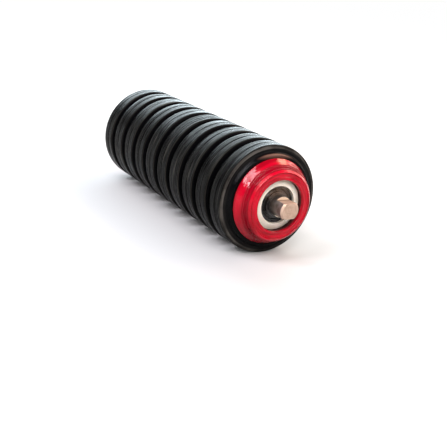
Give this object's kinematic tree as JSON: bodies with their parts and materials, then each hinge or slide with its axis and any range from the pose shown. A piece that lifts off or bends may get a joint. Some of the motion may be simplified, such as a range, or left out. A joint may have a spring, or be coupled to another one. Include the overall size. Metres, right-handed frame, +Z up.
{
  "type": "impact conveyor roller",
  "caption": "Impact idler roller: black rubber cushion rings on a steel tube with red end collars, turning on sealed ball bearings about a fixed shaft with flats.",
  "frame": {"origin": "middle of the roller, on its axis", "axes": "+X along the roller's axis towards its right end, +Z up, square to the shaft's flats"},
  "size_m": [0.426, 0.133, 0.133],
  "materials": {
    "rubber": "moulded black rubber, satin with fine turning streaks",
    "red_paint": "glossy red enamel on steel",
    "shaft_steel": "bright drawn and milled steel",
    "race_steel": "ground bearing steel",
    "cage_steel": "pressed sheet steel",
    "white_nylon": "cream white moulded nylon",
    "black_nylon": "black moulded nylon",
    "seal_rubber": "black moulded seal rubber",
    "spring_steel": "black spring steel"
  },
  "bodies": {
    "shaft": {"shaft": "shaft_steel", "bearing_inner_race_left": "race_steel", "bearing_inner_race_right": "race_steel", "labyrinth_inner_left": "black_nylon", "labyrinth_inner_right": "black_nylon", "dust_cover_left": "seal_rubber", "dust_cover_right": "seal_rubber", "circlip_left": "spring_steel", "circlip_right": "spring_steel"},
    "roller": {"shell_tube": "red_paint", "rubber_ring_01": "rubber", "rubber_ring_02": "rubber", "rubber_ring_03": "rubber", "rubber_ring_04": "rubber", "rubber_ring_05": "rubber", "rubber_ring_06": "rubber", "rubber_ring_07": "rubber", "rubber_ring_08": "rubber", "rubber_ring_09": "rubber", "rubber_ring_10": "rubber", "retaining_collar_left": "red_paint", "retaining_collar_right": "red_paint", "bearing_housing_left": "red_paint", "bearing_housing_right": "red_paint", "bearing_outer_race_left": "race_steel", "bearing_outer_race_right": "race_steel", "grease_seal_left": "black_nylon", "grease_seal_right": "black_nylon", "labyrinth_outer_left": "white_nylon", "labyrinth_outer_right": "white_nylon"},
    "cage_left": {"ball_cage_left": "cage_steel", "bearing_balls_left": "race_steel"},
    "cage_right": {"ball_cage_right": "cage_steel", "bearing_balls_right": "race_steel"}
  },
  "joints": [
    {"name": "roller_spin", "type": "hinge", "parent": "shaft", "child": "roller", "pos_m": [0, 0, 0], "axis": [1, 0, 0], "continuous": true},
    {"name": "cage_left_spin", "type": "hinge", "parent": "shaft", "child": "cage_left", "pos_m": [-0.1635, 0, 0], "axis": [1, 0, 0], "continuous": true},
    {"name": "cage_right_spin", "type": "hinge", "parent": "shaft", "child": "cage_right", "pos_m": [0.1635, 0, 0], "axis": [1, 0, 0], "continuous": true}
  ],
  "couplings": [
    {"joint": "cage_left_spin", "follows": "roller_spin", "ratio": 0.63218},
    {"joint": "cage_right_spin", "follows": "roller_spin", "ratio": 0.63218}
  ]
}
